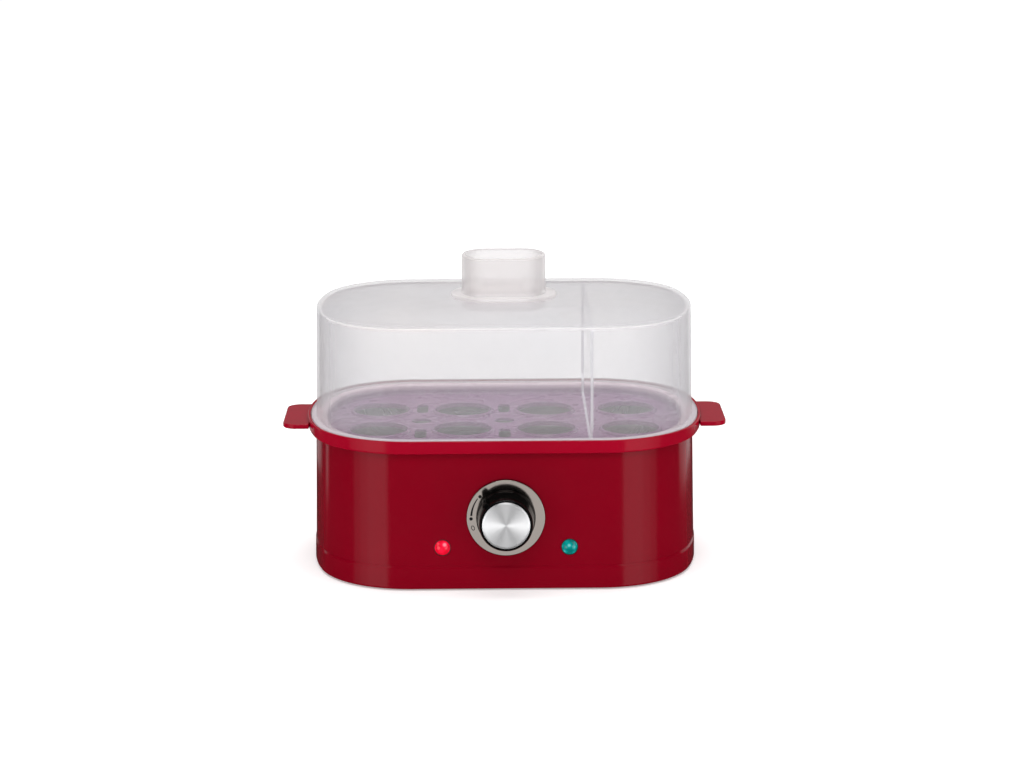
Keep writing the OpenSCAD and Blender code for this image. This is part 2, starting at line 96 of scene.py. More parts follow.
LENS_FLANGE = 6.3     # radius of its flange behind the wall
POINTER = math.radians(135)      # the knob's direction at rest, from the right, seen from the front


def lean(z):
    """How far the housing's wall stands outside its nominal outline at a height."""
    return -DRAFT * (z - MID_Z)


# ---------------------------------------------------------------- mesh tools

def oval(shape, offset=0.0, z=0.0):
    """Points once around an oval moved outward by offset. Every oval has the same number of points."""
    w, d, a, r = shape
    t = 2 * math.atan2(w - a - r, d - r)
    big = r + (d - r) / math.sin(t)
    points = []

    def turn(x, y, radius, start, end, steps):
        for i in range(steps):
            angle = start + (end - start) * i / steps
            points.append(Vector((x + (radius + offset) * math.cos(angle),
                                  y + (radius + offset) * math.sin(angle), z)))

    def straight(x0, x1, y, steps):
        for i in range(steps):
            points.append(Vector((x0 + (x1 - x0) * i / steps, y, z)))

    turn(w - big, 0, big, -t, t, 16)
    turn(a, d - r, r, t, math.pi / 2, 34)
    straight(a, -a, d + offset, 36)
    turn(-a, d - r, r, math.pi / 2, math.pi - t, 34)
    turn(big - w, 0, big, math.pi - t, math.pi + t, 16)
    turn(-a, r - d, r, math.pi + t, 1.5 * math.pi, 34)
    straight(-a, a, -d - offset, 36)
    turn(a, r - d, r, -math.pi / 2, -t, 34)
    return points


def rounded(profile, radius, steps=4, closed=True):
    """A profile with its corners rounded. radius is one number, or one for each corner."""
    n = len(profile)
    radii = radius if isinstance(radius, (list, tuple)) else [radius] * n
    out = []
    for i, corner in enumerate(profile):
        c = Vector(corner)
        if radii[i] <= 0 or (not closed and i in (0, n - 1)):
            out.append(c)
            continue
        before = Vector(profile[i - 1]) - c
        after = Vector(profile[(i + 1) % n]) - c
        reach = min(radii[i], 0.45 * before.length, 0.45 * after.length)
        p, q = c + before.normalized() * reach, c + after.normalized() * reach
        for k in range(steps + 1):
            s = k / steps
            out.append((1 - s) ** 2 * p + 2 * s * (1 - s) * c + s * s * q)
    return out


def as_object(name, bm, sharp=35, weighted=True):
    """Finishes a mesh: metres, outward faces, smooth shading with sharp edges by angle."""
    bmesh.ops.recalc_face_normals(bm, faces=bm.faces)
    mesh = bpy.data.meshes.new(name)
    bmesh.ops.scale(bm, vec=(MM, MM, MM), verts=bm.verts)
    bm.to_mesh(mesh)
    bm.free()
    obj = bpy.data.objects.new(name, mesh)
    bpy.context.scene.collection.objects.link(obj)
    smooth(obj, sharp, weighted)
    return obj


def smooth(obj, sharp=35, weighted=True):
    """Smooth shading, with sharp edges where the faces meet at more than the given angle."""
    mesh = obj.data
    mesh.polygons.foreach_set("use_smooth", [True] * len(mesh.polygons))
    mesh.set_sharp_from_angle(angle=math.radians(sharp))
    if weighted and "Normals" not in obj.modifiers:
        m = obj.modifiers.new("Normals", "WEIGHTED_NORMAL")
        m.mode = "FACE_AREA"
        m.keep_sharp = True


def loft(bm, rings, around=False):
    """Faces between neighbouring rings of points; with around, the last ring joins the first."""
    rows = [[bm.verts.new(p) for p in ring] for ring in rings]
    pairs = list(zip(rows, rows[1:] + rows[:1] if around else rows[1:]))
    for low, high in pairs:
        n = len(low)
        for j in range(n):
            k = (j + 1) % n
            bm.faces.new((low[j], low[k], high[k], high[j]))
    return rows


def shell(bm, shape, profile):
    """Carries a closed profile of (offset, height) points once around an oval."""
    loft(bm, [oval(shape, p[0], p[1]) for p in profile], around=True)


def circle_of(bm, r, z, steps, turn=0.0):
    """A ring of new points about Z, turned by a share of a step."""
    angles = [2 * math.pi * (i + turn) / steps for i in range(steps)]
    return [bm.verts.new((r * math.cos(a), r * math.sin(a), z)) for a in angles]


def lathe(bm, profile, steps=96, closed=False):
    """Turns a profile of (radius, height) points about Z. Points at radius 0 become one vertex."""
    rings = []
    for r, z in profile:
        if r < 1e-6:
            rings.append([bm.verts.new((0, 0, z))])
        else:
            rings.append(circle_of(bm, r, z, steps))
    pairs = list(zip(rings, rings[1:] + rings[:1] if closed else rings[1:]))
    for low, high in pairs:
        for j in range(steps):
            k = (j + 1) % steps
            if len(low) == 1 and len(high) == 1:
                continue
            if len(low) == 1:
                bm.faces.new((low[0], high[k], high[j]))
            elif len(high) == 1:
                bm.faces.new((low[j], low[k], high[0]))
            else:
                bm.faces.new((low[j], low[k], high[k], high[j]))


def slab(bm, outline, low, high):
    """A flat-topped solid with the given outline."""
    bottom = [bm.verts.new((x, y, low)) for x, y in outline]
    top = [bm.verts.new((x, y, high)) for x, y in outline]
    n = len(outline)
    for j in range(n):
        k = (j + 1) % n
        bm.faces.new((bottom[j], bottom[k], top[k], top[j]))
    bm.faces.new(top)
    bm.faces.new(list(reversed(bottom)))


def slot_outline(x, y, length, width, steps=10):
    """A slot along Y with round ends."""
    r = width / 2
    half = length / 2 - r
    return ([(x + r * math.cos(math.pi * i / steps), y + half + r * math.sin(math.pi * i / steps))
             for i in range(steps + 1)]
            + [(x - r * math.cos(math.pi * i / steps), y - half - r * math.sin(math.pi * i / steps))
               for i in range(steps + 1)])


def circle_outline(x, y, r, steps=64):
    return [(x + r * math.cos(2 * math.pi * i / steps), y + r * math.sin(2 * math.pi * i / steps))
            for i in range(steps)]


def facing_front(x, y, z):
    """Takes a shape built about Z to an axis that comes out of the front, at (x, y, z)."""
    return Matrix.Translation((x, y, z)) @ Matrix.Rotation(math.radians(90), 4, "X")


def cut(obj, cutters):
    """Cuts other meshes, given as bmesh, out of obj in one go."""
    tool_mesh = bpy.data.meshes.new("cutter")
    whole = bmesh.new()
    for bm in cutters:
        bmesh.ops.recalc_face_normals(bm, faces=bm.faces)
        bmesh.ops.scale(bm, vec=(MM, MM, MM), verts=bm.verts)
        bm.to_mesh(tool_mesh)
        bm.free()
        whole.from_mesh(tool_mesh)
    whole.to_mesh(tool_mesh)
    whole.free()
    tool = bpy.data.objects.new("cutter", tool_mesh)
    bpy.context.scene.collection.objects.link(tool)
    obj.modifiers.clear()
    m = obj.modifiers.new("Cut", "BOOLEAN")
    m.operation = "DIFFERENCE"
    m.solver = "EXACT"
    m.use_self = True
    m.object = tool
    bpy.context.view_layer.update()
    ready = obj.evaluated_get(bpy.context.evaluated_depsgraph_get())
    mesh = bpy.data.meshes.new_from_object(ready)
    obj.modifiers.clear()
    obj.data = mesh
    bpy.data.objects.remove(tool)
    smooth(obj)


def cutter(outline, low, high, place=None):
    """A prism to cut with, taken to its place if one is given."""
    bm = bmesh.new()
    slab(bm, outline, low, high)
    if place is not None:
        bmesh.ops.transform(bm, matrix=place, verts=bm.verts)
    return bm


def soften(obj, width, steps=2):
    """Rounds the sharp edges a little, ahead of the weighted normals."""
    m = obj.modifiers.new("Edges", "BEVEL")
    m.width = width * MM
    m.segments = steps
    m.limit_method = "ANGLE"
    m.angle_limit = math.radians(40)
    m.harden_normals = False
    if "Normals" in obj.modifiers:
        obj.modifiers.move(len(obj.modifiers) - 1, 0)


# ---------------------------------------------------------------- materials

def new_material(name):
    m = bpy.data.materials.new(name)
    m.use_nodes = True
    return m, m.node_tree, m.node_tree.nodes["Principled BSDF"]


def node(tree, kind, inputs=None, **settings):
    """A new node. Each input is a value, or another node's output to link to."""
    n = tree.nodes.new(kind)
    for key, value in settings.items():
        setattr(n, key, value)
    for key, value in (inputs or {}).items():
        if isinstance(value, bpy.types.NodeSocket):
            tree.links.new(value, n.inputs[key])
        else:
            n.inputs[key].default_value = value
    return n


def place_of(tree):
    return node(tree, "ShaderNodeTexCoord").outputs["Object"]


def remapped(tree, value, low, high, start=0.0, end=1.0):
    """A value that goes from low to high as the given one goes from start to end."""
    span = node(tree, "ShaderNodeMapRange", {"Value": value, "From Min": start, "From Max": end,
                                             "To Min": low, "To Max": high})
    return span.outputs["Result"]


def noise(tree, coords, scale, detail):
    speckle = node(tree, "ShaderNodeTexNoise", {"Vector": coords, "Scale": scale, "Detail": detail})
    return speckle.outputs["Fac"]


def varied(tree, coords, scale, low, high):
    """A value between low and high that follows a noise of the given scale."""
    return remapped(tree, noise(tree, coords, scale, 4.0), low, high, 0.3, 0.7)


def mixed(tree, amount, first, second):
    """A colour between two, each of them a colour or another node's output."""
    mix = node(tree, "ShaderNodeMix", data_type="RGBA")
    tree.links.new(amount, mix.inputs[0])
    for socket, colour in ((mix.inputs[6], first), (mix.inputs[7], second)):
        if isinstance(colour, bpy.types.NodeSocket):
            tree.links.new(colour, socket)
        else:
            socket.default_value = (*colour, 1)
    return mix.outputs[2]


def tinted(tree, coords, scale, first, second):
    """A colour between two colours that follows a noise of the given scale."""
    return mixed(tree, varied(tree, coords, scale, 0.0, 1.0), first, second)


def darker(colour, share):
    return tuple(v * share for v in colour)


def bumped(tree, shader, height, strength, distance):
    bump = node(tree, "ShaderNodeBump", {"Height": height, "Strength": strength, "Distance": distance})
    tree.links.new(bump.outputs["Normal"], shader.inputs["Normal"])


def plastic(name, first, second, rough, specular=0.5, grain=0.0, grain_scale=1500.0):
    """Moulded plastic: a slight drift in colour and gloss, and a fine grain or ripple."""
    m, tree, shader = new_material(name)
    coords = place_of(tree)
    tree.links.new(tinted(tree, coords, 18.0, first, second), shader.inputs["Base Color"])
    tree.links.new(varied(tree, coords, 60.0, rough * 0.9, rough * 1.12), shader.inputs["Roughness"])
    shader.inputs["Specular IOR Level"].default_value = specular
    bumped(tree, shader, noise(tree, coords, grain_scale, 3.0), grain, 0.0002)
    return m


def metal(name, first, second, rough, grain=0.1, grain_scale=(40.0, 40.0, 1500.0)):
    """Metal with brush lines that run across the axis with the largest scale."""
    m, tree, shader = new_material(name)
    stretch = node(tree, "ShaderNodeMapping", {"Vector": place_of(tree), "Scale": grain_scale})
    lines = noise(tree, stretch.outputs["Vector"], 1.0, 5.0)
    tree.links.new(mixed(tree, lines, first, second), shader.inputs["Base Color"])
    tree.links.new(remapped(tree, lines, rough * 0.8, rough * 1.25), shader.inputs["Roughness"])
    shader.inputs["Metallic"].default_value = 1.0
    bumped(tree, shader, lines, grain, 0.0002)
    return m


def red_plastic(name, first, second, rough):
    return plastic(name, first, second, rough, specular=0.16, grain=0.05, grain_scale=900.0)


def height_of(tree, coords):
    return node(tree, "ShaderNodeSeparateXYZ", {"Vector": coords}).outputs["Z"]


def milky(name, alpha_low, alpha_high, tint=(0.478, 0.472, 0.492), lip=None):
    """Thin translucent plastic, denser where it is seen edge on, and along its upper lip if it has one."""
    m, tree, shader = new_material(name)
    coords = place_of(tree)
    warm = (min(1.0, tint[0] * 1.04), tint[1], tint[2] * 0.97)
    tree.links.new(tinted(tree, coords, 12.0, tint, warm), shader.inputs["Base Color"])
    tree.links.new(varied(tree, coords, 90.0, 0.38, 0.46), shader.inputs["Roughness"])
    edge = node(tree, "ShaderNodeLayerWeight", {"Blend": 0.35}).outputs["Facing"]
    alpha = remapped(tree, edge, alpha_low, alpha_high, 0.02, 1.0)
    if lip:
        dense = remapped(tree, height_of(tree, coords), 0.0, 0.85, (lip - 1.3) * MM, (lip - 0.6) * MM)
        alpha = node(tree, "ShaderNodeMath", {0: alpha, 1: dense}, operation="MAXIMUM").outputs[0]
    tree.links.new(alpha, shader.inputs["Alpha"])
    bumped(tree, shader, noise(tree, coords, 120.0, 2.0), 0.01, 0.0005)
    return m


def clear_sheet(name, face, edge, tint):
    """A clear sheet across X: hard to see through its faces, and pale along its cut edges."""
    m, tree, shader = new_material(name)
    coords = place_of(tree)
    tree.links.new(tinted(tree, coords, 12.0, tint, darker(tint, 0.96)), shader.inputs["Base Color"])
    tree.links.new(varied(tree, coords, 90.0, 0.22, 0.3), shader.inputs["Roughness"])
    normal = node(tree, "ShaderNodeTexCoord").outputs["Normal"]
    across = node(tree, "ShaderNodeSeparateXYZ", {"Vector": normal}).outputs["X"]
    size = node(tree, "ShaderNodeMath", {0: across}, operation="ABSOLUTE").outputs[0]
    tree.links.new(remapped(tree, size, edge, face, 0.3, 0.9), shader.inputs["Alpha"])
    return m


def tray_milk(name, inside, flange):
    """The tray's milky lilac plastic, darker low in its sunk floor and paler along its flange; the darker
    floor is painted shade of the tray's hollow over the dish.
    """
    m, tree, shader = new_material(name)
    coords = place_of(tree)
    # darker below the flange's height: painted shade in the tray's hollow
    share = remapped(tree, height_of(tree, coords), 0.0, 1.0, 85.5 * MM, 88.5 * MM)
    lilac_with_painted_shade = tinted(tree, coords, 16.0, inside, darker(inside, 0.86))
    tree.links.new(mixed(tree, share, lilac_with_painted_shade, flange), shader.inputs["Base Color"])
    tree.links.new(varied(tree, coords, 70.0, 0.24, 0.32), shader.inputs["Roughness"])
    bumped(tree, shader, noise(tree, coords, 300.0, 2.0), 0.05, 0.0003)
    return m


def glowing(name, dark, light, painted_glint, strength):
    """A clear coloured lens with a lamp behind it: dark near its edge, with painted glints of its facets set
    into the glow.
    """
    m, tree, shader = new_material(name)
    coords = place_of(tree)
    lighter = tuple(v * 1.6 for v in dark)
    tree.links.new(tinted(tree, coords, 300.0, dark, lighter), shader.inputs["Base Color"])
    # the bright spark and light stops of this cell pattern are painted glints of the facets, added to the
    # lamp's glow
    facets = node(tree, "ShaderNodeTexVoronoi", {"Vector": coords, "Scale": 260.0})
    ramp = node(tree, "ShaderNodeValToRGB", {"Fac": facets.outputs["Distance"]})
    stops = ramp.color_ramp.elements
    stops[0].color = (*painted_glint, 1)
    stops[0].position = 0.12
    stops[1].color = (*dark, 1)
    stops[1].position = 0.75
    stops.new(0.38).color = (*light, 1)
    tree.links.new(ramp.outputs["Color"], shader.inputs["Emission Color"])
    shader.inputs["Emission Strength"].default_value = strength
    shader.inputs["Roughness"].default_value = 0.08
    shader.inputs["Specular IOR Level"].default_value = 0.6
    return m


def spun_metal(name, colour, rough_low, rough_high, spread):
    """Metal turned on a lathe: fine rings about its axis, so that light fans out across them."""
    m, tree, shader = new_material(name)
    coords = place_of(tree)
    apart = node(tree, "ShaderNodeSeparateXYZ", {"Vector": coords})
    rise = node(tree, "ShaderNodeMath", {0: apart.outputs["Z"], 1: -DIAL_Z * MM}, operation="ADD")
    square_x = node(tree, "ShaderNodeMath", {0: apart.outputs["X"], 1: 2.0}, operation="POWER")
    square_z = node(tree, "ShaderNodeMath", {0: rise.outputs[0], 1: 2.0}, operation="POWER")
    total = node(tree, "ShaderNodeMath", {0: square_x.outputs[0], 1: square_z.outputs[0]}, operation="ADD")
    radius = node(tree, "ShaderNodeMath", {0: total.outputs[0], 1: 0.5}, operation="POWER")
    speckle = node(tree, "ShaderNodeTexNoise", {"W": radius.outputs[0], "Scale": 6000.0, "Detail": 3.0},
                   noise_dimensions="1D")
    rings = speckle.outputs["Fac"]
    tree.links.new(mixed(tree, rings, darker(colour, 0.88), colour), shader.inputs["Base Color"])
    tree.links.new(remapped(tree, rings, rough_low, rough_high), shader.inputs["Roughness"])
    shader.inputs["Metallic"].default_value = 1.0
    shader.inputs["Anisotropic"].default_value = spread
    shader.inputs["Anisotropic Rotation"].default_value = 0.25
    tangent = node(tree, "ShaderNodeTangent", direction_type="RADIAL", axis="Y")
    tree.links.new(tangent.outputs["Tangent"], shader.inputs["Tangent"])
    return m


CAST = (300.0, 300.0, 300.0)      # grain without a direction, for metal that isn't brushed
SOOTED = (200.0, 200.0, 200.0)

LOOKS = {
    "body_red": red_plastic("red_gloss", (0.205, 0.0003, 0.0085), (0.19, 0.0002, 0.0075), 0.14),
    # the rim's red is a lighter copy of the body's red: painted light on the rim and the handles
    "rim_red": red_plastic("rim_gloss_painted_light", (0.305, 0.0006, 0.0145), (0.285, 0.0005, 0.0125), 0.14),
    "base_plastic": plastic("black_grain", (0.02, 0.02, 0.022), (0.03, 0.03, 0.032), 0.5, grain=0.3),
    "foot_rubber": plastic("dark_rubber", (0.025, 0.025, 0.025), (0.04, 0.04, 0.04), 0.75, grain=0.4),
    "fastener_steel": metal("plated_steel", (0.55, 0.55, 0.56), (0.68, 0.68, 0.68), 0.3),
    "ring_metal": spun_metal("satin_ring", (0.33, 0.295, 0.27), 0.08, 0.12, 0.2),
    "knob_plastic": plastic("knob_black", (0.0015, 0.0015, 0.0015), (0.003, 0.003, 0.003), 0.12,
                            specular=0.1, grain=0.02),
    "cap_metal": spun_metal("spun_cap", (0.93, 0.93, 0.94), 0.36, 0.46, 0.85),
    "switch_plastic": plastic("grey_plastic", (0.03, 0.03, 0.033), (0.05, 0.05, 0.055), 0.5, grain=0.2),
    "lens_red": glowing("lens_red", (0.35, 0.002, 0.012), (0.8, 0.01, 0.05), (1.0, 0.35, 0.42), 0.85),
    "lens_green": glowing("lens_green", (0.0, 0.08, 0.075), (0.0, 0.28, 0.26), (0.35, 0.75, 0.78), 0.8),
    "sleeve_plastic": plastic("white_plastic", (0.75, 0.75, 0.72), (0.8, 0.8, 0.78), 0.4, grain=0.1),
    "neon_glass": plastic("lamp_glass", (0.9, 0.4, 0.2), (0.95, 0.5, 0.3), 0.1),
    "dish_steel": metal("dish_steel", (0.50, 0.49, 0.50), (0.62, 0.61, 0.62), 0.28, 0.08,
                        (30.0, 900.0, 30.0)),
    "seal_rubber": plastic("grey_silicone", (0.10, 0.09, 0.09), (0.14, 0.13, 0.13), 0.6, grain=0.2),
    "aluminium_plate": metal("cast_aluminium", (0.58, 0.58, 0.6), (0.66, 0.66, 0.68), 0.45, 0.3, CAST),
    "heater_sheath": metal("heater_sheath", (0.20, 0.18, 0.16), (0.32, 0.29, 0.27), 0.45, 0.2, SOOTED),
    "shield_sheet": metal("shield_sheet", (0.5, 0.5, 0.5), (0.6, 0.6, 0.6), 0.35),
    "thermostat_body": plastic("black_phenolic", (0.02, 0.015, 0.014), (0.03, 0.025, 0.02), 0.45, grain=0.2),
    "fuse_sleeve": plastic("glass_fibre", (0.65, 0.65, 0.6), (0.75, 0.75, 0.7), 0.7,
                           grain=0.6, grain_scale=2500.0),
    "ceramic": plastic("ceramic_white", (0.75, 0.73, 0.68), (0.82, 0.80, 0.76), 0.5, grain=0.2),
    "tag_brass": metal("tinned_brass", (0.55, 0.4, 0.16), (0.65, 0.5, 0.24), 0.35),
    "wire_brown": plastic("wire_brown", (0.12, 0.04, 0.015), (0.16, 0.055, 0.02), 0.45, grain=0.1),
    "wire_blue": plastic("wire_blue", (0.01, 0.06, 0.4), (0.015, 0.08, 0.5), 0.45, grain=0.1),
    "wire_earth": plastic("wire_earth", (0.12, 0.4, 0.02), (0.6, 0.55, 0.02), 0.45, grain=0.1),
    "wire_white": plastic("wire_white", (0.6, 0.6, 0.58), (0.7, 0.7, 0.68), 0.6, grain=0.4),
    "wire_red": plastic("wire_red", (0.5, 0.01, 0.01), (0.6, 0.02, 0.02), 0.45, grain=0.1),
    "wire_green": plastic("wire_green", (0.01, 0.25, 0.05), (0.02, 0.32, 0.08), 0.45, grain=0.1),
    # the tray's first colour, for its floor, is darkened with painted shade
    "tray_plastic": tray_milk("tray_lilac", (0.19, 0.062, 0.18), (0.66, 0.52, 0.58)),
    "milky_plastic": milky("milky_cover", 0.24, 0.55),
}
INK = plastic("ring_ink", (0.008, 0.008, 0.008), (0.015, 0.015, 0.015), 0.4, grain=0.1)
GRIP_MILK = milky("milky_grip", 0.38, 0.72, (0.65, 0.635, 0.645), grip_high.z)
PLATE_MILK = clear_sheet("milky_divider", 0.07, 0.7, (0.72, 0.72, 0.76))
# the corner's milky plastic is much lighter than the cover's: a painted highlight along the cover's upper
# edge
EDGE_HIGHLIGHT_MILK = milky("milky_corner_highlight", 0.5, 0.7, (0.86, 0.85, 0.86))

SLOT_OF = {part["node"]: part["material_slot"] for part in frame["record"]["subparts"]}


def dress(obj, look):
    obj.data.materials.clear()
    obj.data.materials.append(look)


def piece(obj, body, slot, look=None):
    """A finished piece: the look of its slot, or the look given, and its body."""
    dress(obj, look or LOOKS[slot])
    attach(obj, body)
    return obj


# ---------------------------------------------------------------- red base, housing and rim

def make_base():
    """The base: a skirt with a ledge for the housing's wall, and a floor with vents and screw holes."""
    bottom, top = base_low.z, 15
    skirt = rounded([(0.6, bottom), (1.3, bottom + 0.8), (1.15, top - 1.3), (0.5, top + 0.1),
                     (0.3, top - 0.02), (-1.75, top - 0.02), (-1.75, top + 4), (-3.6, top + 4),
                     (-3.6, top - 2.2), (-1, top - 2.2), (-0.9, bottom + 2), (-5.2, bottom + 2),
                     (-5.2, bottom)], [0.4, 0.6, 0.3, 0, 0, 0.2, 0.3, 0.3, 0.2, 0.2, 0.2, 0, 0])
    bm = bmesh.new()
    shell(bm, BODY, skirt)
    slab(bm, [(p.x, p.y) for p in oval(BODY, -5)], bottom, bottom + 2)
    obj = as_object("base_shell", bm)
    holes = [cutter(slot_outline(x, y, 22, 4), bottom - 2, bottom + 4)
             for x in range(-40, 50, 10) for y in (-24, 14)]
    holes += [cutter(circle_outline(x, y, 3.8, 32), bottom - 2, bottom + 4) for x, y in POSTS]
    cut(obj, holes)
    soften(obj, 0.25)
    piece(obj, "base", "body_red")
    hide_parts("base_pan")


def make_housing():
    """The wall, with a seat for the ring and holes for the spindle, the lamps and the gland."""
    bottom, top = wall_low.z, wall_high.z
    wall = 2.2
    bm = bmesh.new()
    shell(bm, BODY, rounded([(lean(bottom), bottom), (lean(top), top), (lean(top) - wall, top),
                             (lean(bottom) - wall, bottom)], [0.12, 0.3, 0.2, 0.12]))
    obj = as_object("housing_shell", bm)
    front = -BODY[1]
    seat = facing_front(0, ring_high.y, DIAL_Z)
    cut(obj, [
        cutter(circle_outline(0, 0, RING_R + 0.15, 128), 0, 8, seat),
        cutter(circle_outline(0, 0, 5, 48), -8, 8, facing_front(0, front, DIAL_Z)),
        cutter(circle_outline(0, 0, 5, 48), -8, 8, facing_front(LAMP_X, front, LAMP_Z)),
        cutter(circle_outline(0, 0, 5, 48), -8, 8, facing_front(-LAMP_X, front, LAMP_Z)),
        cutter(circle_outline(0, 0, 6.6, 48), -8, 8, facing_front(-40, -front, 30)),
    ])
    soften(obj, 0.2)
    piece(obj, "base", "body_red")
    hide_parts("housing")


def handle_outline(root, tip, half, corner):
    """One handle's outline, seen from above, for the right side."""
    points = [(root, -half)]
    steps = 8
    for start, x, y in ((-90, tip - corner, -half + corner), (0, tip - corner, half - corner)):
        for i in range(steps + 1):
            a = math.radians(start + 90 * i / steps)
            points.append((x + corner * math.cos(a), y + corner * math.sin(a)))
    points.append((root, half))
    return points


def make_rim():
    """The rim over the housing, with a shelf for the tray, and its two handles."""
    top = rim_high.z + RIM_LIP
    bm = bmesh.new()
    shell(bm, BODY, rounded([(-0.3, 82), (4.0, 82.9), (4.45, top), (2.65, top), (2.65, TRAY_Z),
                             (-5.2, TRAY_Z), (-5.2, 77), (-12, 77), (-12, 75), (-3.2, 75), (-3.2, 82)],
                            [0.2, 0.9, 0.7, 0.6, 0.4, 0.8, 0.4, 0.5, 0.3, 0.3, 0.2]))
    obj = as_object("rim_shell", bm)
    piece(obj, "base", "rim_red")
    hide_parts("rim_frame")
    thick = 2.8
    low, high = TRAY_Z + 0.2 - thick, TRAY_Z + 0.2
    for side in (1, -1):
        bm = bmesh.new()
        outline = handle_outline(BODY[0] + 2.5, rim_high.x, 27, 8)
        slab(bm, [(side * x, y) for x, y in outline], low, high)
        tab = as_object("handle_right" if side > 0 else "handle_left", bm)
        soften(tab, 0.6, 4)
        piece(tab, "base", "rim_red")


def make_posts():
    """The rim's screw posts and the base's posts under them."""
    profile = [(3.8, 3.5), (4.6, 3.5), (4.6, 30), (4, 30), (4, 76), (1.5, 76), (1.5, 20), (3.8, 20)]
    for i, (x, y) in enumerate(POSTS):
        bm = bmesh.new()
        lathe(bm, rounded(profile, 0.2), steps=32, closed=True)
        bmesh.ops.translate(bm, vec=(x, y, 0), verts=bm.verts)
        piece(as_object("post_%d" % (i + 1), bm), "base", "body_red")


# ---------------------------------------------------------------- dial and lamps

def on_front(bm, x, y, z):
    """Takes a mesh built about Z to an axis that comes out of the front, at (x, y, z)."""
    bmesh.ops.transform(bm, matrix=facing_front(x, y, z), verts=bm.verts)


def make_ring():
    """The dial's metal ring, let into the wall."""
    bm = bmesh.new()
    thick = ring_high.y - ring_low.y
    profile = [(RING_HOLE, 0), (RING_R, 0), (RING_R, thick), (RING_HOLE, thick - DISH)]
    lathe(bm, rounded(profile, [0, 0.1, 0.35, 0.2]), steps=160, closed=True)
    on_front(bm, 0, ring_high.y, DIAL_Z)
    obj = as_object("ring_plate", bm)
    piece(obj, "base", "ring_metal")
    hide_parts("dial_bezel")


def mark(name, outlines):
    """A printed mark on the ring; outlines are in the ring's plane, seen from the front."""
    bm = bmesh.new()
    for outline in outlines:
        slab(bm, outline, -0.05, 0.05)
    for v in bm.verts:
        v.co.z -= DISH * (RING_R - v.co.xy.length) / (RING_R - RING_HOLE)
    on_front(bm, 0, RING_Y, DIAL_Z)
    piece(as_object(name, bm, weighted=False), "base", "ring_metal", INK)


def polar(r, degrees):
    a = math.radians(degrees)
    return r * math.cos(a), r * math.sin(a)


def make_marks():
    """The dial's scale: a dot at the pointer, an arc, a dot, and a 0 for off."""
    mark("mark_dot_high", [circle_outline(*polar(19.7, 139), 1.0, 24)])
    mark("mark_dot_low", [circle_outline(*polar(20.2, 181), 1.0, 24)])
    steps = 24
    inner, outer = [], []
    for i in range(steps + 1):
        angle = 144 + 32 * i / steps
        width = 0.25 + 0.35 * i / steps
        inner.append(polar(20.1 - width, angle))
        outer.append(polar(20.1 + width, angle))
    mark("mark_arc", [outer + inner[::-1]])
    x, y = polar(20.0, 197)
    turn = math.radians(197 - 180)

    def on_zero(k, half_width, half_height):
        a = 2 * math.pi * k / steps
        u, v = half_width * math.cos(a), half_height * math.sin(a)
        return x + u * math.cos(turn) - v * math.sin(turn), y + u * math.sin(turn) + v * math.cos(turn)

    mark("mark_zero", [[on_zero(i, 1.0, 1.55), on_zero(i + 1, 1.0, 1.55),
                        on_zero(i + 1, 0.62, 1.15), on_zero(i, 0.62, 1.15)] for i in range(steps)])


def make_knob():
    """The knob, its pointer ridge and its metal cap."""
    back = knob_high.y
    length = knob_high.y - knob_low.y
    cap_r = (cap_high.x - cap_low.x) / 2
    profile = [(12.8, 0), (17.2, 0), (17.2, 1.4), (16.5, 2.6), (15.5, length - 1.2), (14.8, length),
               (cap_r + 0.1, length), (cap_r + 0.1, length - 1), (12.4, length - 1), (3.05, length - 1.2),
               (3.05, 0.6), (5.6, 0.6), (5.6, length - 3.4), (12.8, length - 3.4)]
    radii = [0.2, 0.3, 0.4, 0.9, 0.8, 0.3, 0.2, 0.1, 0, 0.1, 0.2, 0.2, 0.2, 0.2]
    bm = bmesh.new()
    lathe(bm, rounded(profile, radii), steps=160, closed=True)
    on_front(bm, 0, back, DIAL_Z)
    obj = as_object("knob_shell", bm)
    piece(obj, "dial", "knob_plastic")
    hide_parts("knob_body")
    bm = bmesh.new()
    slab(bm, [(14, -1.9), (17.7, -1.6), (17.7, 1.6), (14, 1.9)], 0.8, length - 0.9)
    bmesh.ops.rotate(bm, cent=(0, 0, 0), matrix=Matrix.Rotation(POINTER, 3, "Z"), verts=bm.verts)
    on_front(bm, 0, back, DIAL_Z)
    ridge = as_object("knob_pointer", bm)
    soften(ridge, 0.5, 4)
    piece(ridge, "dial", "knob_plastic")
    height = cap_high.y - cap_low.y
    profile = [(0, height - 0.12), (cap_r - 1.0, height - 0.05), (cap_r, height - 0.35), (cap_r, 0), (0, 0)]
    bm = bmesh.new()
    lathe(bm, rounded(profile, [0, 0.5, 0.12, 0.1, 0], closed=False), steps=160)
    on_front(bm, 0, cap_high.y, DIAL_Z)
    cap = as_object("cap_disc", bm)
    piece(cap, "dial", "cap_metal")
    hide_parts("knob_cap")


